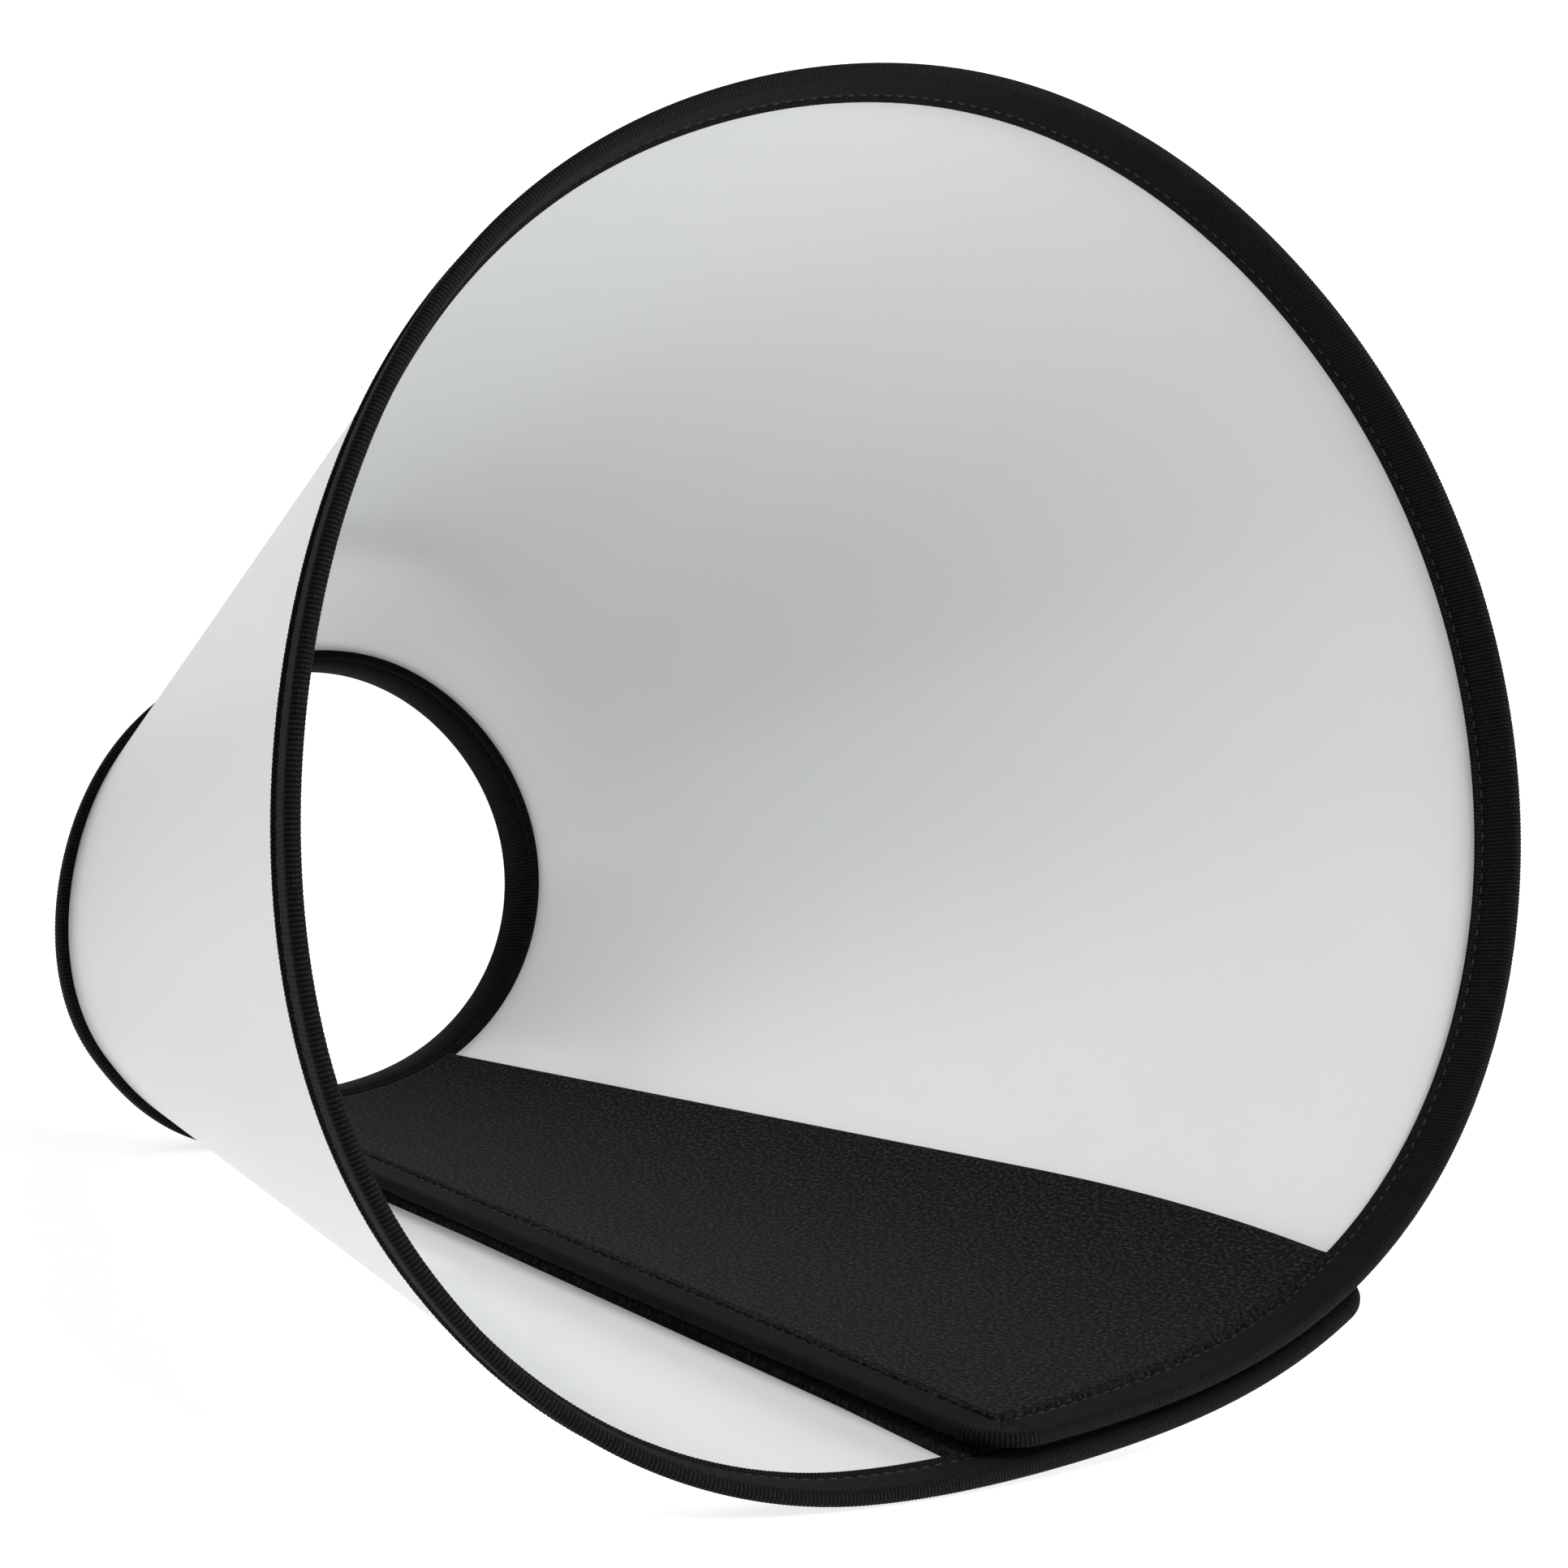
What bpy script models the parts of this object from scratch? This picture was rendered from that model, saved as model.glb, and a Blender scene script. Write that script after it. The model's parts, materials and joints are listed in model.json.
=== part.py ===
"""Wrap-around recovery cone: one curved plastic sheet, bound with tape, closed with hook and loop.

The sheet lies on a generalised cone. Every point on it has a turn angle round the cone's axis and
a slant distance from its apex. The turn runs past 360 degrees, so that the inner flap lies inside
the outer flap. The sheet is split along straight lines through the apex, which are the hinges
that stand for its bending when the closure is peeled open and the cone unrolls flat.
"""

import math

import bmesh
import bpy
import numpy as np
from mathutils import Matrix, Vector

NAME = "recovery_cone"

# Overall size, in metres. The neck's edge is skewed: it lies farther from the apex at the top
RIM_SLANT = 0.430
NECK_SLANT = 0.1775
NECK_SKEW = 0.0080

# Half angle of the cone, and how it swells and sags: waves round the turn, with their cosine and
# sine parts, all in degrees
HALF_ANGLE = 18.0
SWELL = {2: (1.64, -0.65), 3: (-0.34, -0.40), 4: (-0.10, -0.03), 5: (-0.13, 0.04)}

# Turn angles in degrees, counted round the axis
HINGE_SPACING = 45.0
TIP_HINGE = 244.5
FIRST_HINGE = 259.5
WALL_COUNT = 6
FACET = 7.5
OUTER_END = 229.5
INNER_END = 639.0
FACING_START = 586.5
HOOK_END = 280.5
LOOP_START = 597.0
STEP_START = 289.5
STEP_END = 327.0
REST_FACET = (282.0, 289.5)

# Thicknesses and clearances, in metres
SHEET_THICKNESS = 0.0008
TAPE_THICKNESS = 0.0009
FACING_THICKNESS = 0.0014
LOOP_THICKNESS = 0.0015
HOOK_THICKNESS = 0.0015
GAP = 0.0003
LAP_GAP = 0.0006

# Binding widths and the rounded corner at the free ends of the rim, in metres
RIM_BINDING_WIDTH = 0.0080
NECK_BINDING_WIDTH = 0.0085
NECK_BULGE = 0.0010
END_BINDING_WIDTH = 0.0080
INNER_CORNER_RADIUS = 0.0015
CORNER_STEPS = 4
EDGE_STEPS = 4

# What follows from the sizes above
SHEET_HALF = SHEET_THICKNESS / 2
CORNER_RADIUS = END_BINDING_WIDTH + INNER_CORNER_RADIUS
TAPE_OFFSET = SHEET_HALF + GAP + TAPE_THICKNESS / 2
TAPE_OUTER = TAPE_OFFSET + TAPE_THICKNESS / 2
LOOP_OUTER = SHEET_HALF + GAP + LOOP_THICKNESS
HOOK_INNER = SHEET_HALF + GAP + HOOK_THICKNESS
NECK_INNER = TAPE_OUTER + NECK_BULGE
LAP_OFFSET = max(LOOP_OUTER + HOOK_INNER, TAPE_OUTER + NECK_INNER, TAPE_OUTER + HOOK_INNER) + LAP_GAP
HINGE_OFFSET = TAPE_OUTER + GAP
WALL_START = FIRST_HINGE + HINGE_SPACING
INNER_HINGE = WALL_START + WALL_COUNT * HINGE_SPACING

COLOURS = {
    "sheet": ((0.80, 0.82, 0.84, 1.0), 0.42),
    "binding": ((0.020, 0.018, 0.018, 1.0), 0.85),
    "facing": ((0.015, 0.014, 0.015, 1.0), 0.95),
    "loop": ((0.018, 0.017, 0.018, 1.0), 0.95),
    "hook": ((0.025, 0.024, 0.026, 1.0), 0.70),
}


def clear_scene():
    for obj in list(bpy.data.objects):
        bpy.data.objects.remove(obj, do_unlink=True)


def make_collection():
    collection = bpy.data.collections.new(NAME)
    bpy.context.scene.collection.children.link(collection)
    return collection


def make_material(slot):
    colour, roughness = COLOURS[slot]
    material = bpy.data.materials.new(slot)
    material.use_nodes = True
    shader = material.node_tree.nodes["Principled BSDF"]
    shader.inputs["Base Color"].default_value = colour
    shader.inputs["Roughness"].default_value = roughness
    shader.inputs["Metallic"].default_value = 0.0
    return material


# The surface: a cone whose wide end faces -Y, with its apex at the origin


def half_angle(turn):
    phi = math.radians(turn)
    swell = sum(c * math.cos(n * phi) + s * math.sin(n * phi) for n, (c, s) in SWELL.items())
    return math.radians(HALF_ANGLE + swell)


def direction(turn):
    """Unit vector from the apex along the sheet at this turn."""
    phi = math.radians(turn)
    alpha = half_angle(turn)
    out = math.sin(alpha)
    return Vector((-out * math.cos(phi), -math.cos(alpha), out * math.sin(phi)))


def along_turn(turn):
    """Change of the direction for each degree of turn."""
    step = 0.01
    return (direction(turn + step) - direction(turn - step)) / (2 * step)


def normal(turn):
    """Outward normal of the sheet, the same all along one straight line through the apex."""
    return direction(turn).cross(along_turn(turn)).normalized()


def lap_offset(turn):
    """How far the sheet lies outside the basic cone: the outer flap passes over the inner one."""
    share = min(max((turn - STEP_START) / (STEP_END - STEP_START), 0.0), 1.0)
    return LAP_OFFSET * (1.0 - share * share * (3.0 - 2.0 * share))


def skewed(turn, slant):
    """True distance from the apex: the nominal slant at the rim, and skewed towards the neck."""
    share = (RIM_SLANT - slant) / (RIM_SLANT - NECK_SLANT)
    return slant + NECK_SKEW * share * math.sin(math.radians(turn))


def on_line(turn, slant, offset):
    return direction(turn) * skewed(turn, slant) + normal(turn) * (lap_offset(turn) + offset)


def facet_columns(start, end, extra=()):
    """Turns of the straight fold lines between two turns, with both ends and any extra lines."""
    first = math.ceil((start - FIRST_HINGE) / FACET + 1e-6)
    last = math.floor((end - FIRST_HINGE) / FACET - 1e-6)
    lines = {FIRST_HINGE + FACET * k for k in range(first, last + 1)}
    lines.update(turn for turn in extra if start < turn < end)
    return [start] + sorted(lines) + [end]


def on_facet(turn, slant, offset):
    """Point on the flat facet that lies between the two fold lines nearest to this turn."""
    steps = (turn - FIRST_HINGE) / FACET
    low = FIRST_HINGE + FACET * math.floor(steps + 1e-9)
    share = (turn - low) / FACET
    first = on_line(low, slant, offset)
    return first.lerp(on_line(low + FACET, slant, offset), share) if share > 1e-6 else first


def turn_for(length, turn, slant):
    """Degrees of turn that a length covers, measured round the sheet at this slant."""
    return length / (skewed(turn, slant) * along_turn(turn).length)


# Placement: the cone lies on its rest facet, with its opening towards -Y


def placement():
    first, last = REST_FACET
    low = on_line(first, RIM_SLANT, TAPE_OUTER)
    across = on_line(last, RIM_SLANT, TAPE_OUTER) - low
    back = on_line(first, NECK_SLANT, TAPE_OUTER) - low
    up = across.cross(back).normalized()
    if up.dot(normal(first)) > 0:
        up = -up
    axis = Vector((0.0, -1.0, 0.0))
    front = (axis - up * axis.dot(up)).normalized()
    side = up.cross(front)
    turned = Matrix((side, -front, up))
    return turned.to_4x4()


def add_object(name, mesh, material, collection, smooth=True):
    obj = bpy.data.objects.new(name, mesh)
    collection.objects.link(obj)
    mesh.materials.append(material)
    if smooth:
        mesh.shade_smooth()
        mesh.set_sharp_from_angle(angle=math.radians(40))
    return obj


def grid_mesh(name, rows):
    """Open surface through rows of points, each row as long as the others."""
    shape = bmesh.new()
    lines = [[shape.verts.new(point) for point in row] for row in rows]
    for one, two in zip(lines, lines[1:]):
        for k in range(len(one) - 1):
            shape.faces.new((one[k], one[k + 1], two[k + 1], two[k]))
    bmesh.ops.recalc_face_normals(shape, faces=shape.faces)
    mesh = bpy.data.meshes.new(name)
    shape.to_mesh(mesh)
    shape.free()
    return mesh


def thicken(obj, thickness):
    solidify = obj.modifiers.new("thickness", "SOLIDIFY")
    solidify.thickness = thickness
    solidify.offset = 0.0
    solidify.use_even_offset = False
    return obj


def strip(start, end, points, gaps=(GAP / 2, GAP / 2), extra=()):
    """Rows of points from one turn to another, with a parallel gap left at each end."""
    after = start + max(turn_for(gaps[0], start, slant) for slant, _ in points(start))
    before = end - max(turn_for(gaps[1], end, slant) for slant, _ in points(end))
    rows = []
    for turn in facet_columns(start, end, extra):
        inside = after < turn < before
        if not inside and turn not in (start, end):
            continue
        row = []
        for slant, offset in points(turn):
            shift = 0.0
            if turn == start:
                shift = turn_for(gaps[0], turn, slant)
            if turn == end:
                shift = -turn_for(gaps[1], turn, slant)
            row.append(on_facet(turn + shift, slant, offset))
        rows.append(row)
    return rows


def gaps_at(start, end, free_end, free_gap=0.0):
    """The hinge gap at each end of a strip, and another one at a free end."""
    return tuple(free_gap if turn == free_end else GAP / 2 for turn in (start, end))


# The sheet and the panels on it


def corner_lines(end, inward):
    """Turns where the rounded corner of a flap has its fold lines, from the free end inwards."""
    reach = turn_for(CORNER_RADIUS, end, RIM_SLANT)
    angles = [math.pi / 2 * k / CORNER_STEPS for k in range(CORNER_STEPS + 1)]
    return [end + inward * reach * (1.0 - math.cos(angle)) for angle in angles]


def rim_edge(turn, end, inward):
    """Slant of the sheet's rim edge, which drops round the corner next to a free end."""
    if end is None:
        return RIM_SLANT
    reach = turn_for(CORNER_RADIUS, end, RIM_SLANT)
    left = 1.0 - min(max((turn - end) * inward / reach, 0.0), 1.0)
    return RIM_SLANT - CORNER_RADIUS * (1.0 - math.sqrt(max(1.0 - left * left, 0.0)))


def sheet(body, start, end, free_end=None, inward=0):
    def points(turn):
        return [(NECK_SLANT, 0.0), (rim_edge(turn, free_end, inward), 0.0)]

    extra = corner_lines(free_end, inward) if free_end is not None else ()
    rows = strip(start, end, points, gaps_at(start, end, free_end), extra)
    return body + "_sheet", rows, SHEET_THICKNESS, "sheet"


def panel(name, start, end, side, thickness, slot, gaps=(GAP / 2, GAP / 2)):
    """Fabric panel on the outer (1) or inner (-1) face of the sheet, between the bindings."""
    near = NECK_SLANT + NECK_BINDING_WIDTH + GAP
    far = RIM_SLANT - RIM_BINDING_WIDTH - GAP
    offset = side * (SHEET_HALF + GAP + thickness / 2)
    rows = strip(start, end, lambda turn: [(near, offset), (far, offset)], gaps)
    return name, rows, thickness, slot


# The bindings: tape folded over the sheet's edge


def fold_profile(width, bulge):
    """(distance in from the edge, offset) along the folded tape, from its inner to its outer leg."""
    leg = [width * (1.0 - k / 3) for k in range(4)]
    inner = [(x, -TAPE_OFFSET - bulge * math.sin(math.pi * (1.0 - x / width) ** 0.7)) for x in leg]
    angles = [math.pi * k / EDGE_STEPS for k in range(1, EDGE_STEPS)]
    edge = [(-TAPE_OFFSET * math.sin(a), -TAPE_OFFSET * math.cos(a)) for a in angles]
    return inner + edge + [(0.0, TAPE_OFFSET), (width, TAPE_OFFSET)]


def rim_binding(body, start, end, free_end):
    profile = fold_profile(RIM_BINDING_WIDTH, 0.0)
    gaps = gaps_at(start, end, free_end, CORNER_RADIUS + GAP)
    rows = strip(start, end, lambda turn: [(RIM_SLANT - x, y) for x, y in profile], gaps)
    return body + "_rim_binding", rows, TAPE_THICKNESS, "binding"


def neck_binding(body, start, end, free_end):
    profile = fold_profile(NECK_BINDING_WIDTH, NECK_BULGE)
    gaps = gaps_at(start, end, free_end)
    rows = strip(start, end, lambda turn: [(NECK_SLANT + x, y) for x, y in profile], gaps)
    return body + "_neck_binding", rows, TAPE_THICKNESS, "binding"


def end_binding(body, end, inward):
    """Tape over a flap's free end, from the neck binding out to the rim and round its corner."""
    profile = fold_profile(END_BINDING_WIDTH, 0.0)
    near = NECK_SLANT + NECK_BINDING_WIDTH + GAP
    straight = [near + (RIM_SLANT - CORNER_RADIUS - near) * k / 3 for k in range(4)]
    path = [(0.0, slant, 0.0) for slant in straight]
    for k in range(1, CORNER_STEPS + 1):
        angle = math.pi / 2 * k / CORNER_STEPS
        across = CORNER_RADIUS * (1.0 - math.cos(angle))
        path.append((across, RIM_SLANT - CORNER_RADIUS * (1.0 - math.sin(angle)), angle))
    rows = []
    for across, slant, angle in path:
        row = []
        for x, y in profile:
            far = slant - x * math.sin(angle)
            length = across + x * math.cos(angle)
            row.append(on_facet(end + inward * turn_for(length, end, far), far, y))
        rows.append(row)
    return body + "_end_binding", rows, TAPE_THICKNESS, "binding"


def body_turns():
    """Each rigid body of the chain, with the turns where it starts and ends."""
    bodies = {
        "floor_panel": (FIRST_HINGE, WALL_START),
        "outer_flap": (TIP_HINGE, FIRST_HINGE),
        "outer_flap_tip": (OUTER_END, TIP_HINGE),
    }
    for k in range(WALL_COUNT):
        start = WALL_START + k * HINGE_SPACING
        bodies[f"wall_{k + 1}"] = (start, start + HINGE_SPACING)
    bodies["inner_flap"] = (INNER_HINGE, INNER_END)
    return bodies


def body_pieces(body, start, end):
    """Every sub-part of one body, as (name, rows of points, thickness, material)."""
    free_end = {"outer_flap_tip": OUTER_END, "inner_flap": INNER_END}.get(body)
    inward = {OUTER_END: 1, INNER_END: -1}.get(free_end, 0)
    pieces = [sheet(body, start, end, free_end, inward)]
    pieces.append(rim_binding(body, start, end, free_end))
    pieces.append(neck_binding(body, start, end, free_end))
    if free_end is not None:
        pieces.append(end_binding(body, free_end, inward))
    end_clear = 0.0
    if free_end is not None:
        near = NECK_SLANT + NECK_BINDING_WIDTH
        end_clear = inward * turn_for(END_BINDING_WIDTH + GAP, free_end, near)
    if body == "floor_panel":
        pieces.append(panel("floor_panel_hook", start, HOOK_END, -1, HOOK_THICKNESS, "hook"))
    if body == "outer_flap":
        pieces.append(panel("outer_flap_hook", start, end, -1, HOOK_THICKNESS, "hook"))
    if body == "outer_flap_tip":
        low = start + end_clear
        pieces.append(panel("outer_flap_tip_hook", low, end, -1, HOOK_THICKNESS, "hook"))
    if body == "inner_flap":
        high = end + end_clear
        pieces.append(panel("inner_flap_facing", FACING_START, high, -1, FACING_THICKNESS, "facing"))
        pieces.append(panel("inner_flap_loop", LOOP_START, high, 1, LOOP_THICKNESS, "loop"))
    return pieces


# Joints: an empty on each hinge line, with its Z axis along the line


def hinge_empty(name, turn, parent, collection):
    empty = bpy.data.objects.new(name, None)
    empty.empty_display_size = 0.02
    collection.objects.link(empty)
    middle = (RIM_SLANT + NECK_SLANT) / 2
    along = direction(turn)
    pose = along.to_track_quat("Z", "Y").to_matrix().to_4x4()
    pose.translation = on_line(turn, middle, HINGE_OFFSET)
    empty.parent = parent
    empty.matrix_world = placement() @ pose
    return empty


def adopt(child, parent):
    child.parent = parent
    child.matrix_parent_inverse = parent.matrix_world.inverted()


def chain_empties(collection):
    """The root empty and one empty on each joint's axis, in the order of the chain."""
    root = bpy.data.objects.new(NAME + "_root", None)
    collection.objects.link(root)
    joints = {"floor_panel": root}
    order = [("outer_flap", FIRST_HINGE, "floor_panel"), ("outer_flap_tip", TIP_HINGE, "outer_flap")]
    previous = "floor_panel"
    for k in range(WALL_COUNT):
        order.append((f"wall_{k + 1}", WALL_START + k * HINGE_SPACING, previous))
        previous = f"wall_{k + 1}"
    order.append(("inner_flap", INNER_HINGE, previous))
    for body, turn, parent in order:
        joints[body] = hinge_empty("hinge_" + body, turn, joints[parent], collection)
        bpy.context.view_layer.update()
    return joints


def stand_on_floor(root, parts):
    """Move the whole cone so that its box stands on the floor, centred over the origin."""
    bpy.context.view_layer.update()
    graph = bpy.context.evaluated_depsgraph_get()
    points = []
    for obj in parts:
        ready = obj.evaluated_get(graph)
        points += [ready.matrix_world @ vertex.co for vertex in ready.data.vertices]
    points = np.array([tuple(point) for point in points])
    low = points.min(axis=0)
    high = points.max(axis=0)
    root.location = (-(low[0] + high[0]) / 2, -(low[1] + high[1]) / 2, -low[2])
    bpy.context.view_layer.update()


def main():
    clear_scene()
    collection = make_collection()
    materials = {slot: make_material(slot) for slot in COLOURS}
    joints = chain_empties(collection)
    turned = placement()
    parts = []
    for body, (start, end) in body_turns().items():
        for name, rows, thickness, slot in body_pieces(body, start, end):
            rows = [[turned @ point for point in row] for row in rows]
            obj = add_object(name, grid_mesh(name, rows), materials[slot], collection)
            thicken(obj, thickness)
            adopt(obj, joints[body])
            parts.append(obj)
    stand_on_floor(joints["floor_panel"], parts)


main()
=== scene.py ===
"""Looks of a wrap-around pet recovery cone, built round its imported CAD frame.

Every piece follows one surface: a generalised cone, where a point has a turn angle round the
cone's axis, a slant distance from its apex, and an offset outwards along the normal.
The turn runs past 360 degrees, because the inner flap lies inside the outer flap.
"""

import json
import math

import bpy
import numpy as np
from mathutils import Matrix, Vector

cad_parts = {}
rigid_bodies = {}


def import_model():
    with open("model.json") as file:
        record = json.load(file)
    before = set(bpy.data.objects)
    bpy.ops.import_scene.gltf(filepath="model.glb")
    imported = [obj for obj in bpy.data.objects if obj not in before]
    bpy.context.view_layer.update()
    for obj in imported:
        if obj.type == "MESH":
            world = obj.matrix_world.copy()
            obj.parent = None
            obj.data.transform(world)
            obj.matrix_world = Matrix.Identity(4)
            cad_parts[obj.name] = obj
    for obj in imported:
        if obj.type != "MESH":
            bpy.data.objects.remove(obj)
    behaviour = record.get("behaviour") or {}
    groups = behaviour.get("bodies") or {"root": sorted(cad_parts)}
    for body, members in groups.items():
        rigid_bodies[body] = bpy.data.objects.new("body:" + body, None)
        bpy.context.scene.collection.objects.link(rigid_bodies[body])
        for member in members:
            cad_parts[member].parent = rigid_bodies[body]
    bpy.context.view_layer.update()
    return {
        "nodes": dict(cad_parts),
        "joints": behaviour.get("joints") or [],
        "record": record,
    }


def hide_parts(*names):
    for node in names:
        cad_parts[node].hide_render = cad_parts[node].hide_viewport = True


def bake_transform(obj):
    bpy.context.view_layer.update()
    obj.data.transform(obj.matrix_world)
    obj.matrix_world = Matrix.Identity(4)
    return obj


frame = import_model()

# The cone, as in the CAD: metres and degrees
RIM_SLANT = 0.430
NECK_SLANT = 0.1775
NECK_SKEW = 0.0080
HALF_ANGLE = 18.0
SWELL = {2: (1.64, -0.65), 3: (-0.34, -0.40), 4: (-0.10, -0.03), 5: (-0.13, 0.04)}
TIP_HINGE = 244.5
FIRST_HINGE = 259.5
HINGE_SPACING = 45.0
WALL_COUNT = 6
WALL_START = FIRST_HINGE + HINGE_SPACING
OUTER_END = 229.5
INNER_END = 637.9
LOOP_START = 597.0
STEP_START = 289.5
STEP_END = 327.0
REST_FACET = (282.0, 289.5)
LAP_OFFSET = 0.0050
HINGE_OFFSET = 0.0019
TAPE_OUTER = 0.0016

# Thicknesses and widths of the visible pieces, in metres
SHEET_HALF = 0.0004
TAPE_THICKNESS = 0.0009
FACING_THICKNESS = 0.0013
LOOP_THICKNESS = 0.0014
HOOK_THICKNESS = 0.0014
RIM_WIDTH = 0.0080
NECK_WIDTH = 0.0085
END_WIDTH = 0.0080
CORNER_RADIUS = 0.0095
NECK_PUFF = 0.0012
STITCH_INSET = 0.0017

# Edges on the flaps that aren't straight through the apex: how they lean, with slants in metres
END_LEAN = 0.0535
HOOK_END = 279.4
HOOK_LEAN = 0.066
HOOK_BEND = 0.350
FACING_START = 586.3
FACING_SWEEP = 3.5
FACING_BEND = 0.350

# Bending: half the width that bends at a flap's hinge and at a wall's hinge, in metres
FLAP_REACH = 0.0062
WALL_REACH = 0.0195

# How finely the pieces are divided: columns in degrees on the sheet, in metres on the panels
SHEET_COLUMN = 0.75
SHEET_ROWS = 16
PANEL_COLUMN = 0.0020
PANEL_ROWS = 90
COLUMNS_PER_RIB = 3
CORNER_STEPS = 7

# Folded tape, in metres. Shares of its width run from its fold, at 0, to its free edge, at 1
RIB_PITCH = 0.00075
RIB_HEIGHT = 0.00013
WEAVE_PITCH = 0.0005
TAPE_SHARES = (1.0, 0.985, 0.955, 0.925, 0.89, 0.85, 0.82, 0.79, 0.76, 0.72, 0.66, 0.5, 0.3, 0.15, 0.0)
FREE_SHARE = 0.94
FREE_ROUND = 0.55
FREE_RIB_SHARE = 0.93
GROOVE_DEPTH = 0.00032
GROOVE_WIDTH = 0.0006
BEAD_HEIGHT = 0.00050
BEAD_WIDTH = 0.0004
BEAD_INSET = 0.0006
PUFF_SPAN = 1.15
PUFF_POWER = 0.8
SEAT_GAP = 0.00003
SEAT_INSET = 0.0004
END_TAPE_START = 0.55

# Stitching, in metres
STITCH_PITCH = 0.0029
STITCH_LENGTH = 0.0024
STITCH_RADIUS = 0.00022
STITCH_RISE = 0.00006
STITCH_ROWS = 7
STITCH_SIDES = 6

# Panels, in metres: how far they run under the bindings, and how their edges round off
PANEL_TUCK = 0.0012
END_TUCK = 0.0060
PANEL_ROUND = 0.0009
PANEL_EDGE_STEPS = (0.0, 0.1, 0.25, 0.5, 1.0)
PANEL_EDGE_HEIGHT = 0.0002
PANEL_SEAT = 1.02

# Looks: linear colours, and the share of light that goes through each face of the sheet
SHEET_DARK = (0.842, 0.850, 0.856)
SHEET_LIGHT = (0.872, 0.880, 0.886)
SHEET_THROUGH = 0.38
SHEET_ROUGHNESS = 0.24
SHEET_SHINE = 0.85
# The tape's lighter colour is a painted highlight along the crests of its ribs, speckled by its fibres
TAPE_DARK = (0.0008, 0.0007, 0.0007)
TAPE_CREST_HIGHLIGHT = (0.017, 0.0145, 0.013)
TAPE_SHEEN = (0.75, 0.68, 0.62)
FELT_DARK = (0.0020, 0.0018, 0.0019)
FELT_LIGHT = (0.032, 0.028, 0.029)
HOOK_DARK = (0.0060, 0.0045, 0.0040)
HOOK_LIGHT = (0.036, 0.028, 0.023)
THREAD_COLOUR = (0.009, 0.008, 0.008)
STAGE_GREY = (0.5, 0.5, 0.5)
WAVE_FACTOR = 20.0

# Light, in watts and metres
FLOOR_GLOW = 0.80
BACKDROP_GLOW = 1.0
SKY = 0.04
SKY_COLOUR = (0.97, 0.985, 1.0)
KEY_PLACE = (0.1, -1.1, 1.3)
KEY_TARGET = (0.0, 0.0, 0.05)
KEY_SIZE = (1.1, 0.7)
KEY_POWER = 24.0
KEY_COLOUR = (1.0, 0.985, 0.955)
SIDE_PLACE = (1.2, -1.3, 0.5)
SIDE_TARGET = (0.0, 0.0, 0.1)
SIDE_SIZE = (0.6, 0.6)
SIDE_POWER = 18.0
SIDE_COLOUR = (0.93, 0.965, 1.0)

# Stage and camera: metres and degrees, with the lens and its sensor in millimetres
FLOOR_SIZE = 30.0
FLOOR_LEVEL = -0.0005
BACKDROP_SIZE = 3.0
BACKDROP_PLACE = (1.0, 1.25, 0.9)
CAMERA_PLACE = (-0.4141, -0.5468, 0.1889)
CAMERA_AZIMUTH = -39.22
CAMERA_ELEVATION = 7.25
CAMERA_ROLL = 4.68
LENS = 79.26
SENSOR = 36.0


# The surface


def half_angle(turn):
    phi = np.radians(turn)
    swell = sum(c * np.cos(n * phi) + s * np.sin(n * phi) for n, (c, s) in SWELL.items())
    return np.radians(HALF_ANGLE + swell)


def cone_direction(turn):
    phi = np.radians(turn)
    alpha = half_angle(turn)
    out = np.sin(alpha)
    return np.stack([-out * np.cos(phi), -np.cos(alpha), out * np.sin(phi)], axis=-1)


def along_turn(turn):
    step = 0.01
    return (cone_direction(turn + step) - cone_direction(turn - step)) / (2 * step)


def cone_normal(turn):
    found = np.cross(cone_direction(turn), along_turn(turn))
    return found / np.linalg.norm(found, axis=-1, keepdims=True)


def lap_offset(turn):
    share = np.clip((turn - STEP_START) / (STEP_END - STEP_START), 0.0, 1.0)
    return LAP_OFFSET * (1.0 - share * share * (3.0 - 2.0 * share))


def skewed(turn, slant):
    """True distance from the apex: the nominal slant at the rim, and skewed towards the neck."""
    share = (RIM_SLANT - slant) / (RIM_SLANT - NECK_SLANT)
    return slant + NECK_SKEW * share * np.sin(np.radians(turn))


def on_cone(turn, slant, offset):
    """Point of the cone with its apex at the origin, before it is laid on the floor."""
    turn, slant, offset = np.broadcast_arrays(*(np.asarray(x, float) for x in (turn, slant, offset)))
    lift = (lap_offset(turn) + offset)[..., None]
    return cone_direction(turn) * skewed(turn, slant)[..., None] + cone_normal(turn) * lift


def placement():
    """Rotation that lays the cone on its rest facet, with its opening towards -Y."""
    first, last = REST_FACET
    low = on_cone(first, RIM_SLANT, TAPE_OUTER)
    across = on_cone(last, RIM_SLANT, TAPE_OUTER) - low
    back = on_cone(first, NECK_SLANT, TAPE_OUTER) - low
    up = np.cross(across, back)
    up = up / np.linalg.norm(up)
    up = -up if up @ cone_normal(np.float64(first)) > 0 else up
    axis = np.array([0.0, -1.0, 0.0])
    front = axis - up * (axis @ up)
    front = front / np.linalg.norm(front)
    side = np.cross(up, front)
    return np.array([side, -front, up])


def hinge_point(joint_name):
    return np.array(next(j["pos_m"] for j in frame["joints"] if j["name"] == joint_name))


LAY = placement()
HINGE_SLANT = (RIM_SLANT + NECK_SLANT) / 2
APEX = hinge_point("unroll") - LAY @ on_cone(WALL_START, HINGE_SLANT, HINGE_OFFSET)


def surface(turn, slant, offset=0.0):
    """Point on the cone in the row frame."""
    return on_cone(turn, slant, offset) @ LAY.T + APEX


def surface_normal(turn):
    return cone_normal(np.asarray(turn, float)) @ LAY.T


def turn_for(length, turn, slant):
    """Degrees of turn that a length covers, measured round the sheet at this slant."""
    around = np.linalg.norm(along_turn(np.asarray(turn, float)), axis=-1)
    return length / (skewed(turn, slant) * around)


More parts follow.
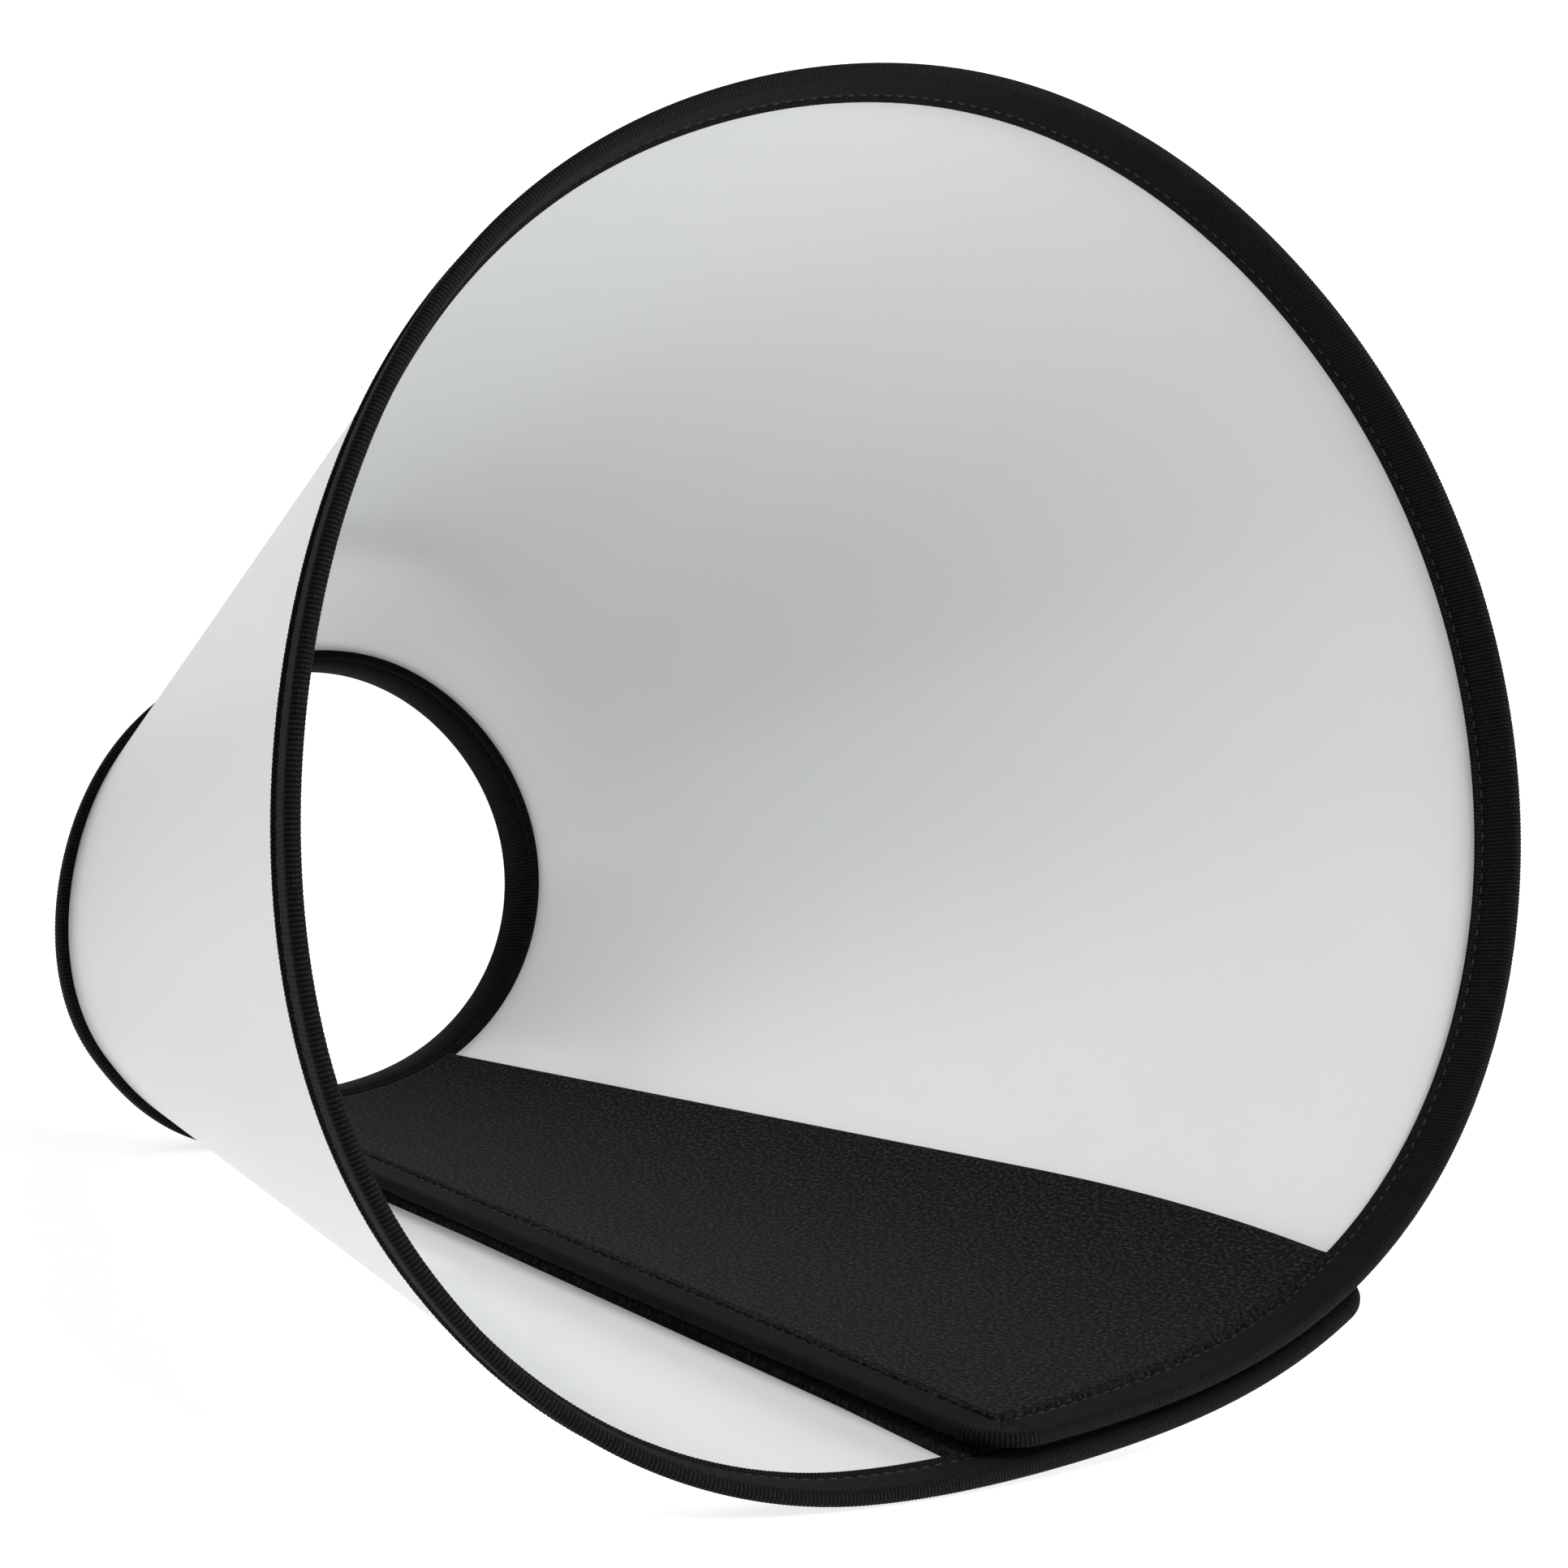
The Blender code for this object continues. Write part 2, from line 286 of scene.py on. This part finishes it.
def inner_end(slant):
    """Turn of the inner flap's end, which leans so that the flap is wider towards the neck."""
    return INNER_END + turn_for(END_LEAN * (RIM_SLANT - slant), INNER_END, slant)


def steady(turn):
    """An edge that lies straight along the cone."""

    def edge(slant):
        return np.full(np.shape(slant), turn)

    return edge


def hook_end(slant):
    """Turn of the hook panel's edge on the floor panel, which leans with the inner flap's end."""
    return HOOK_END + turn_for(HOOK_LEAN * np.maximum(HOOK_BEND - slant, 0.0), HOOK_END, slant)


def facing_start(slant):
    """Turn of the facing's long edge, which sweeps inwards next to the rim."""
    share = np.clip((slant - FACING_BEND) / (RIM_SLANT - RIM_WIDTH - FACING_BEND), 0.0, 1.0)
    return FACING_START + FACING_SWEEP * share * share


# Hinges: where each one turns, and the bodies on either side of it


def hinge_list():
    """(turn, body before, body after, half the width that bends) for each hinge along the chain."""
    hinges = [
        (TIP_HINGE, "outer_flap_tip", "outer_flap", FLAP_REACH),
        (FIRST_HINGE, "outer_flap", "floor_panel", FLAP_REACH),
    ]
    previous = "floor_panel"
    bodies = [f"wall_{k + 1}" for k in range(WALL_COUNT)] + ["inner_flap"]
    for k, body in enumerate(bodies):
        hinges.append((WALL_START + k * HINGE_SPACING, previous, body, WALL_REACH))
        previous = body
    return hinges


HINGES = hinge_list()


def spans():
    """(start turn, end turn, hinge) of each stretch of the cone, cut half way between hinges."""
    found = []
    for k, hinge in enumerate(HINGES):
        low = OUTER_END if k == 0 else (HINGES[k - 1][0] + hinge[0]) / 2
        high = INNER_END if k == len(HINGES) - 1 else (hinge[0] + HINGES[k + 1][0]) / 2
        found.append((low, high, hinge))
    return found


def bend(obj, hinge):
    turn, before, after, reach = hinge
    along = along_turn(np.float64(turn)) @ LAY.T
    along = along / np.linalg.norm(along)
    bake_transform(obj)


# Meshes


def set_uvs(mesh, places):
    """Gives every vertex one place on the UV map, in metres."""
    layer = mesh.uv_layers.new(name="UVMap")
    loops = np.empty(len(mesh.loops), np.int32)
    mesh.loops.foreach_get("vertex_index", loops)
    layer.data.foreach_set("uv", places[loops].astype(np.float32).ravel())


def ring_mesh(name, rings, uvs, normals=None, caps=(True, True)):
    """Body through rings of points: rings[k][i] is point i of ring k. caps says which ends close."""
    count, size = len(rings), len(rings[0])
    points = np.concatenate(rings)
    index = np.arange(count * size).reshape(count, size)
    after = np.roll(index, -1, axis=1)
    quads = np.stack([index[:-1], after[:-1], after[1:], index[1:]], axis=-1).reshape(-1, 4)
    corners = points[quads] - points.mean(axis=0)
    volume = np.einsum("ij,ij->i", corners[:, 0], np.cross(corners[:, 1], corners[:, 2])).sum()
    turned = -1 if volume < 0 else 1
    faces = [tuple(q[::turned]) for q in quads]
    if caps[0]:
        faces.append(tuple(index[0][::-turned]))
    if caps[1]:
        faces.append(tuple(index[-1][::turned]))
    mesh = bpy.data.meshes.new(name)
    mesh.from_pydata([tuple(p) for p in points], [], faces)
    mesh.validate()
    set_uvs(mesh, np.concatenate(uvs))
    mesh.shade_smooth()
    if normals is not None:
        mesh.normals_split_custom_set_from_vertices([tuple(n) for n in np.concatenate(normals)])
    return mesh


def add_piece(name, mesh, material, hinge):
    """Object in the scene with this mesh and material, its transform baked in."""
    obj = bpy.data.objects.new(name, mesh)
    bpy.context.scene.collection.objects.link(obj)
    mesh.materials.append(material)
    bend(obj, hinge)
    return obj


def columns(low, high, step):
    return np.linspace(low, high, max(2, int(math.ceil((high - low) / step)) + 1))


def flat_pattern(turn, slant):
    """Where a point of the sheet lies when the cone is unrolled flat, in metres."""
    across = np.radians(turn) * math.sin(math.radians(HALF_ANGLE))
    return np.stack([slant * np.cos(across), slant * np.sin(across)], axis=-1)


# Materials


def new_material(name, colour, roughness):
    material = bpy.data.materials.new(name)
    material.use_nodes = True
    shader = material.node_tree.nodes["Principled BSDF"]
    shader.inputs["Base Color"].default_value = (*colour, 1.0)
    shader.inputs["Roughness"].default_value = roughness
    return material, material.node_tree.nodes, material.node_tree.links, shader


def uv_vector(nodes):
    return nodes.new("ShaderNodeTexCoord").outputs["UV"]


def noise(nodes, links, vector, scale, detail=2.0):
    texture = nodes.new("ShaderNodeTexNoise")
    texture.inputs["Scale"].default_value = scale
    texture.inputs["Detail"].default_value = detail
    links.new(vector, texture.inputs["Vector"])
    return texture.outputs["Fac"]


def bands(nodes, links, vector, direction, pitch, distortion=0.0):
    """Bands that repeat at this pitch along one direction of the UV map."""
    texture = nodes.new("ShaderNodeTexWave")
    texture.bands_direction = direction
    texture.inputs["Scale"].default_value = 2.0 * math.pi / (WAVE_FACTOR * pitch)
    texture.inputs["Distortion"].default_value = distortion
    texture.inputs["Detail Scale"].default_value = 3.0
    links.new(vector, texture.inputs["Vector"])
    return texture.outputs["Fac"]


def product(nodes, links, first, second):
    node = nodes.new("ShaderNodeMath")
    node.operation = "MULTIPLY"
    links.new(first, node.inputs[0])
    links.new(second, node.inputs[1])
    return node.outputs["Value"]


def ramp(nodes, links, value, low, high, start=0.0, end=1.0):
    """Blend from one colour to another as the value goes from start to end."""
    node = nodes.new("ShaderNodeValToRGB")
    for element, colour, position in zip(node.color_ramp.elements, (low, high), (start, end)):
        element.color = (*colour, 1.0)
        element.position = position
    links.new(value, node.inputs["Fac"])
    return node.outputs["Color"]


def bump(nodes, links, shader, height, distance, strength, before=None):
    """Bump on the shader, on top of an earlier one. It returns the bumped normal."""
    node = nodes.new("ShaderNodeBump")
    node.inputs["Distance"].default_value = distance
    node.inputs["Strength"].default_value = strength
    links.new(height, node.inputs["Height"])
    if before is not None:
        links.new(before, node.inputs["Normal"])
    links.new(node.outputs["Normal"], shader.inputs["Normal"])
    return node.outputs["Normal"]


def sheet_material():
    """Frosted polypropylene: pale cool grey and satin, with a fine grain, letting some light through."""
    material, nodes, links, shader = new_material("frosted_sheet", SHEET_LIGHT, SHEET_ROUGHNESS)
    shader.inputs["Specular IOR Level"].default_value = SHEET_SHINE
    vector = uv_vector(nodes)
    tone = ramp(nodes, links, noise(nodes, links, vector, scale=9.0), SHEET_DARK, SHEET_LIGHT)
    links.new(tone, shader.inputs["Base Color"])
    fine = noise(nodes, links, vector, scale=2600.0)
    grain = bump(nodes, links, shader, fine, distance=0.00002, strength=0.35)
    through = nodes.new("ShaderNodeBsdfTranslucent")
    links.new(tone, through.inputs["Color"])
    links.new(grain, through.inputs["Normal"])
    mix = nodes.new("ShaderNodeMixShader")
    mix.inputs["Fac"].default_value = SHEET_THROUGH
    links.new(shader.outputs["BSDF"], mix.inputs[1])
    links.new(through.outputs["BSDF"], mix.inputs[2])
    links.new(mix.outputs["Shader"], nodes["Material Output"].inputs["Surface"])
    return material


def tape_material():
    """Ribbed woven tape: near-black with a brown cast, with a painted highlight along the crests of its
    ribs, speckled by its fibres.
    """
    material, nodes, links, shader = new_material("woven_tape", TAPE_CREST_HIGHLIGHT, 0.80)
    vector = uv_vector(nodes)
    ribs = bands(nodes, links, vector, "X", RIB_PITCH)
    speckle = noise(nodes, links, vector, scale=1500.0, detail=3.0)
    # Painted highlight: the colour lightens along the rib crests, broken up by the fibre speckle
    crest_highlight = product(nodes, links, ribs, speckle)
    tone = ramp(nodes, links, crest_highlight, TAPE_DARK, TAPE_CREST_HIGHLIGHT, start=0.12, end=0.72)
    links.new(tone, shader.inputs["Base Color"])
    weave = bands(nodes, links, vector, "Y", WEAVE_PITCH, distortion=1.5)
    woven = bump(nodes, links, shader, weave, distance=0.00008, strength=0.6)
    fibres = noise(nodes, links, vector, scale=2500.0, detail=3.0)
    bump(nodes, links, shader, fibres, distance=0.00012, strength=0.7, before=woven)
    shader.inputs["Specular IOR Level"].default_value = 0.08
    shader.inputs["Sheen Weight"].default_value = 0.02
    shader.inputs["Sheen Roughness"].default_value = 0.45
    shader.inputs["Sheen Tint"].default_value = (*TAPE_SHEEN, 1.0)
    return material


def felt_material(name, dark, light, grain):
    """Brushed fabric: near-black and fuzzy, speckled by the tips of its fibres."""
    material, nodes, links, shader = new_material(name, dark, 0.95)
    fine = noise(nodes, links, uv_vector(nodes), scale=grain, detail=3.0)
    tone = ramp(nodes, links, fine, dark, light, start=0.46, end=0.72)
    links.new(tone, shader.inputs["Base Color"])
    bump(nodes, links, shader, fine, distance=0.0004, strength=0.8)
    shader.inputs["Sheen Weight"].default_value = 0.03
    shader.inputs["Sheen Roughness"].default_value = 0.55
    shader.inputs["Specular IOR Level"].default_value = 0.03
    return material


def thread_material():
    material, nodes, links, shader = new_material("thread", THREAD_COLOUR, 0.65)
    twist = noise(nodes, links, uv_vector(nodes), scale=3000.0)
    bump(nodes, links, shader, twist, distance=0.00005, strength=0.6)
    return material


# The sheet


def rim_edge(turn):
    """Slant of the sheet's rim edge, which drops round the corner at each free end."""
    edge = np.full(np.shape(turn), RIM_SLANT)
    for end, inward in ((OUTER_END, 1.0), (INNER_END, -1.0)):
        reach = turn_for(CORNER_RADIUS, end, RIM_SLANT)
        left = 1.0 - np.clip((turn - end) * inward / reach, 0.0, 1.0)
        edge = edge - CORNER_RADIUS * (1.0 - np.sqrt(np.maximum(1.0 - left * left, 0.0)))
    return edge


def sheet_piece(k, low, high, hinge, material):
    """One stretch of the sheet. Only its free ends close, so light runs on through the seams."""
    share = np.linspace(0.0, 1.0, SHEET_ROWS)
    leans = high == INNER_END
    rings, uvs, normals = [], [], []
    for turn in columns(low, high, SHEET_COLUMN):
        slant = NECK_SLANT + (rim_edge(turn) - NECK_SLANT) * share
        place = np.full(SHEET_ROWS, turn)
        if leans:
            place = low + (inner_end(slant) - low) * (turn - low) / (high - low)
        inner = surface(place, slant, -SHEET_HALF)
        outer = surface(place, slant, SHEET_HALF)[::-1]
        rings.append(np.vstack([inner, outer]))
        pattern = flat_pattern(place, slant)
        uvs.append(np.vstack([pattern, pattern[::-1]]))
        out = surface_normal(place)
        normals.append(np.vstack([-out, out[::-1]]))
    mesh = ring_mesh(f"sheet_{k}", rings, uvs, normals, caps=(low == OUTER_END, leans))
    add_piece(f"sheet_{k}", mesh, material, hinge)


# Folded tape over an edge


def tape_section(width, puff):
    """Outline of the tape as (distance in from its fold, offset), once round, and its hidden points."""
    height = SHEET_HALF + TAPE_THICKNESS
    shares = np.array(TAPE_SHARES)
    from_free = width - shares * width
    groove = GROOVE_DEPTH * np.exp(-(((from_free - STITCH_INSET) / GROOVE_WIDTH) ** 2))
    bead = BEAD_HEIGHT * np.exp(-(((from_free - BEAD_INSET) / BEAD_WIDTH) ** 2))
    near_free = np.clip((shares - FREE_SHARE) / (1.0 - FREE_SHARE), 0.0, 1.0)
    round_off = TAPE_THICKNESS * FREE_ROUND * near_free**2
    swell = puff * np.sin(np.pi * np.clip((1.0 - shares) / PUFF_SPAN, 0.0, 1.0)) ** PUFF_POWER
    lift = height + swell + bead - groove - round_off
    inner = np.stack([shares * width, -lift], axis=-1)
    angles = np.linspace(0.0, math.pi, CORNER_STEPS)[1:-1]
    fold = np.stack([-height * np.sin(angles), -lift[-1] * np.cos(angles)], axis=-1)
    outer = inner[::-1] * np.array([1.0, -1.0])
    seat = SHEET_HALF + SEAT_GAP
    back = np.array([[width, seat], [SEAT_INSET, seat], [SEAT_INSET, -seat], [width, -seat]])
    return np.vstack([inner, fold, outer, back]), len(back)


def tape_profile(width, puff):
    """Outline of the tape, which way its ribs lift each point, and the length round to each point."""
    section, hidden = tape_section(width, puff)
    lifted = np.sign(section[:, 1]) * np.minimum(np.abs(section[:, 1]) / SHEET_HALF, 1.0)
    lifted[-hidden:] = 0.0
    steps = np.linalg.norm(np.diff(section, axis=0), axis=1)
    return section, lifted, np.concatenate([[0.0], np.cumsum(steps)])


def rib_height(length):
    """Height of the tape's cross ribs at a distance along the tape."""
    return float(np.abs(np.sin(math.pi * length / RIB_PITCH)) ** 0.7) * RIB_HEIGHT


def edge_tape(name, low, high, slant, inward, width, puff, hinge, material):
    """Folded tape round the rim (inward -1) or the neck (inward +1) from one turn to another."""
    section, lifted, path = tape_profile(width, puff)
    across = float(np.linalg.norm(along_turn(np.float64((low + high) / 2))))
    step = RIB_PITCH / COLUMNS_PER_RIB / (slant * across)
    at_fold = section[:, 0] < 0
    at_free_edge = section[:, 0] > width * FREE_RIB_SHARE
    rings, uvs = [], []
    for turn in columns(low, high, step):
        length = math.radians(turn) * math.sin(math.radians(HALF_ANGLE)) * slant
        rib = rib_height(length)
        x = section[:, 0] - np.where(at_fold, rib, 0.0) + np.where(at_free_edge, rib, 0.0)
        rings.append(surface(turn, slant + inward * x, section[:, 1] + lifted * rib))
        uvs.append(np.stack([np.full(len(path), length), path], axis=-1))
    return add_piece(name, ring_mesh(name, rings, uvs), material, hinge)


def corner_path(near):
    """(distance in from the free end, slant, angle) along a flap's end and round its rim corner."""
    step = RIB_PITCH / COLUMNS_PER_RIB
    straight = np.arange(near, RIM_SLANT - CORNER_RADIUS, step)
    angles = np.linspace(0.0, math.pi / 2, int(math.pi / 2 * CORNER_RADIUS / step))
    path = [(0.0, slant, 0.0) for slant in straight]
    for angle in angles:
        across = CORNER_RADIUS * (1.0 - math.cos(angle))
        path.append((across, RIM_SLANT - CORNER_RADIUS * (1.0 - math.sin(angle)), angle))
    return path


def end_tape(name, end_turn, inward, hinge, material):
    """Folded tape along a flap's end and round its rim corner."""
    section, lifted, path = tape_profile(END_WIDTH, 0.0)
    rings, uvs = [], []
    length = 0.0
    for across, slant, angle in corner_path(NECK_SLANT + NECK_WIDTH * END_TAPE_START):
        rib = rib_height(length)
        x = section[:, 0] - np.where(section[:, 0] < 0, rib, 0.0)
        far = slant - x * math.sin(angle)
        reach = across + x * math.cos(angle)
        turn = end_turn(far)
        turn = turn + inward * turn_for(reach, turn, far)
        rings.append(surface(turn, far, section[:, 1] + lifted * rib))
        uvs.append(np.stack([np.full(len(path), length), path], axis=-1))
        length += RIB_PITCH / COLUMNS_PER_RIB
    add_piece(name, ring_mesh(name, rings, uvs), material, hinge)


# Stitching


def stitch_shape():
    """Points of one stitch as (along, across, up) from its middle, ring by ring."""
    points = []
    for share in np.linspace(-1.0, 1.0, STITCH_ROWS):
        radius = STITCH_RADIUS * math.sqrt(max(1.0 - abs(share) ** 3, 0.02))
        sink = -STITCH_RADIUS * 1.1 * share * share
        for angle in np.linspace(0.0, 2.0 * math.pi, STITCH_SIDES, endpoint=False):
            across = radius * math.cos(angle)
            points.append((share * STITCH_LENGTH / 2, across, radius * math.sin(angle) + sink))
    return np.array(points)


def stitch_faces():
    """Faces of one stitch, as positions in its list of points."""
    faces = []
    for row in range(STITCH_ROWS - 1):
        for k in range(STITCH_SIDES):
            first = row * STITCH_SIDES + k
            second = row * STITCH_SIDES + (k + 1) % STITCH_SIDES
            faces.append((first, first + STITCH_SIDES, second + STITCH_SIDES, second))
    last = (STITCH_ROWS - 1) * STITCH_SIDES
    faces.append(tuple(range(STITCH_SIDES)))
    faces.append(tuple(last + k for k in reversed(range(STITCH_SIDES))))
    return faces


def stitch_line(place, count, side):
    """Middle, direction along and outward normal of each stitch, from place(share) -> turn, slant."""
    found = []
    lift = side * (SHEET_HALF + TAPE_THICKNESS - GROOVE_DEPTH + STITCH_RISE)
    for share in (np.arange(count) + 0.5) / count:
        turn, slant = place(share)
        middle = surface(turn, slant, lift)
        along = surface(*place(share + 1e-3), lift) - middle
        found.append((middle, along / np.linalg.norm(along), surface_normal(turn) * side))
    return found


def span_stitches(low, high, rim_low, rim_high):
    """The rows of stitches along the rim and the neck of one stretch, on both faces."""
    rows = (
        (rim_low, rim_high, RIM_SLANT - RIM_WIDTH + STITCH_INSET),
        (low, high, NECK_SLANT + NECK_WIDTH - STITCH_INSET),
    )
    found = []
    for side in (-1, 1):
        for first, last, slant in rows:

            def place(share):
                return first + (last - first) * share, slant

            count = int((last - first) / turn_for(STITCH_PITCH, (first + last) / 2, slant))
            found += stitch_line(place, count, side)
    return found


def end_stitches(end_turn, inward):
    """The rows of stitches along a flap's end, on both faces."""
    inset = END_WIDTH - STITCH_INSET
    near = NECK_SLANT + NECK_WIDTH
    far = RIM_SLANT - inset
    count = int((far - near) / STITCH_PITCH)

    def place(share):
        slant = near + (far - near) * share
        turn = end_turn(slant)
        return turn + inward * turn_for(inset, turn, slant), slant

    return stitch_line(place, count, -1) + stitch_line(place, count, 1)


def stitch_piece(name, stitches, hinge, material):
    """All the stitches of one stretch, as one object."""
    shape = stitch_shape()
    points, faces = [], []
    for middle, along, up in stitches:
        across = np.cross(up, along)
        start = len(points)
        points += [tuple(middle + x * along + y * across + z * up) for x, y, z in shape]
        faces += [tuple(start + k for k in face) for face in stitch_faces()]
    mesh = bpy.data.meshes.new(name)
    mesh.from_pydata(points, [], faces)
    mesh.validate()
    apart = np.repeat(np.arange(len(stitches)), len(shape))[:, None]
    set_uvs(mesh, np.tile(shape[:, :2], (len(stitches), 1)) + apart)
    mesh.shade_smooth()
    add_piece(name, mesh, material, hinge)


# Fabric panels on the flaps


def under_inner_end(slant):
    return inner_end(slant) - turn_for(END_TUCK, INNER_END, slant)


def under_outer_end(slant):
    return OUTER_END + turn_for(END_TUCK, OUTER_END, slant)


def panel_piece(name, low, high, side, thickness, hinge, material):
    """Felt, loop or hook panel on the outer (1) or inner (-1) face, tucked under the bindings."""
    near = NECK_SLANT + NECK_WIDTH - PANEL_TUCK
    far = RIM_SLANT - RIM_WIDTH + PANEL_TUCK
    slants = np.linspace(near, far, PANEL_ROWS)
    start, end = low(slants), high(slants)
    width = float(np.max((end - start) / turn_for(PANEL_COLUMN, start, slants)))
    edges = np.array(PANEL_EDGE_STEPS) / width
    middle = np.linspace(0.0, 1.0, int(width) + 1)[2:-2]
    rings, uvs = [], []
    for share in np.concatenate([edges, middle, 1.0 - edges[::-1]]):
        place = start + (end - start) * share
        left = min(share, 1.0 - share) * width * PANEL_COLUMN
        round_off = math.sqrt(max(1.0 - (1.0 - min(left / PANEL_ROUND, 1.0)) ** 2, 0.0))
        top = SHEET_HALF + PANEL_EDGE_HEIGHT + (thickness - PANEL_EDGE_HEIGHT) * round_off
        face = surface(place, slants, side * top)
        back = surface(place, slants, side * SHEET_HALF * PANEL_SEAT)[::-1]
        rings.append(np.vstack([face, back]))
        pattern = flat_pattern(place, slants)
        uvs.append(np.vstack([pattern, pattern[::-1]]))
    obj = add_piece(name, ring_mesh(name, rings, uvs), material, hinge)


# Stage


def glowing_white(name, strength):
    """White that glows, so that the cone's own shadow hardly shows on it."""
    material, nodes, links, shader = new_material(name, STAGE_GREY, 0.9)
    shader.inputs["Specular IOR Level"].default_value = 0.0
    shader.inputs["Emission Color"].default_value = (1.0, 1.0, 1.0, 1.0)
    shader.inputs["Emission Strength"].default_value = strength
    return material


def stage_plane(name, size, place, material):
    bpy.ops.mesh.primitive_plane_add(size=size, location=place)
    plane = bpy.context.object
    plane.name = name
    plane.data.materials.append(material)
    return plane


def make_stage():
    """White floor, and a white wall behind the cone, square to the camera."""
    floor_white = glowing_white("floor_white", FLOOR_GLOW)
    stage_plane("floor", FLOOR_SIZE, (0, 0, FLOOR_LEVEL), floor_white)
    backdrop_white = glowing_white("backdrop_white", BACKDROP_GLOW)
    wall = stage_plane("backdrop", BACKDROP_SIZE, BACKDROP_PLACE, backdrop_white)
    wall.rotation_euler = (math.radians(90.0), 0.0, math.radians(CAMERA_AZIMUTH))


def area_light(name, place, target, size, power, colour):
    data = bpy.data.lights.new(name, "AREA")
    data.shape = "RECTANGLE"
    data.size, data.size_y = size
    data.energy = power
    data.color = colour
    light = bpy.data.objects.new(name, data)
    bpy.context.scene.collection.objects.link(light)
    light.location = place
    light.rotation_euler = (Vector(target) - Vector(place)).to_track_quat("-Z", "Y").to_euler()


def make_lights():
    """Dim sky, a key light above and in front, and a cooler light from the right."""
    world = bpy.data.worlds.new("studio")
    bpy.context.scene.world = world
    world.use_nodes = True
    background = world.node_tree.nodes["Background"]
    background.inputs["Color"].default_value = (*SKY_COLOUR, 1.0)
    background.inputs["Strength"].default_value = SKY
    area_light("key", KEY_PLACE, KEY_TARGET, KEY_SIZE, KEY_POWER, KEY_COLOUR)
    area_light("side", SIDE_PLACE, SIDE_TARGET, SIDE_SIZE, SIDE_POWER, SIDE_COLOUR)


def make_camera():
    """The camera stands in front and to the left, a little above the cone."""
    data = bpy.data.cameras.new("camera")
    data.sensor_width = SENSOR
    data.lens = LENS
    camera = bpy.data.objects.new("camera", data)
    bpy.context.scene.collection.objects.link(camera)
    azimuth = math.radians(CAMERA_AZIMUTH)
    elevation = math.radians(CAMERA_ELEVATION)
    back = Vector((
        math.sin(azimuth) * math.cos(elevation),
        -math.cos(azimuth) * math.cos(elevation),
        math.sin(elevation),
    ))
    camera.location = CAMERA_PLACE
    facing = (-back).to_track_quat("-Z", "Y").to_matrix().to_4x4()
    roll = Matrix.Rotation(math.radians(CAMERA_ROLL), 4, "Z")
    camera.rotation_euler = (facing @ roll).to_euler()
    bpy.context.scene.camera = camera


# The whole cone


def add_wall(sheet_look, tape_look, thread_look):
    """Sheet, rim tape, neck tape and stitches, stretch by stretch."""
    all_spans = spans()
    last = len(all_spans) - 1
    corner = turn_for(CORNER_RADIUS, OUTER_END, RIM_SLANT)
    for k, (low, high, hinge) in enumerate(all_spans):
        sheet_piece(k, low, high, hinge, sheet_look)
        rim_low = low + corner if k == 0 else low
        rim_high = high - corner if k == last else high
        edge_tape(f"rim_tape_{k}", rim_low, rim_high, RIM_SLANT, -1, RIM_WIDTH, 0.0, hinge, tape_look)
        neck = edge_tape(
            f"neck_tape_{k}", low, high, NECK_SLANT, 1, NECK_WIDTH, NECK_PUFF, hinge, tape_look
        )
        stitches = span_stitches(low, high, rim_low, rim_high)
        if k == 0:
            stitches += end_stitches(steady(OUTER_END), 1.0)
        if k == last:
            stitches += end_stitches(inner_end, -1.0)
        stitch_piece(f"stitches_{k}", stitches, hinge, thread_look)


def add_flaps(tape_look, facing_look, loop_look, hook_look):
    """Bindings along both free ends, and the fabric panels of the closure."""
    all_spans = spans()
    tip, flap = HINGES[0], HINGES[1]
    inner = HINGES[-1]
    end_tape("outer_end_tape", steady(OUTER_END), 1.0, tip, tape_look)
    end_tape("inner_end_tape", inner_end, -1.0, inner, tape_look)
    panel_piece("facing", facing_start, under_inner_end, -1, FACING_THICKNESS, inner, facing_look)
    panel_piece("loop", steady(LOOP_START), under_inner_end, 1, LOOP_THICKNESS, inner, loop_look)
    seam = steady(all_spans[0][1])
    panel_piece("hook_tip", under_outer_end, seam, -1, HOOK_THICKNESS, tip, hook_look)
    panel_piece("hook_flap", seam, hook_end, -1, HOOK_THICKNESS, flap, hook_look)


def replace_nodes():
    """Hides every CAD node."""
    for node in frame["nodes"]:
        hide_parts(node)


def main():
    bpy.context.scene.view_settings.view_transform = "Standard"
    make_camera()
    make_stage()
    make_lights()
    sheet_look = sheet_material()
    tape_look = tape_material()
    facing_look = felt_material("facing_felt", FELT_DARK, FELT_LIGHT, grain=1200.0)
    loop_look = felt_material("loop_felt", FELT_DARK, FELT_LIGHT, grain=1100.0)
    hook_look = felt_material("hook_nylon", HOOK_DARK, HOOK_LIGHT, grain=1200.0)
    thread_look = thread_material()
    add_wall(sheet_look, tape_look, thread_look)
    add_flaps(tape_look, facing_look, loop_look, hook_look)
    replace_nodes()


main()
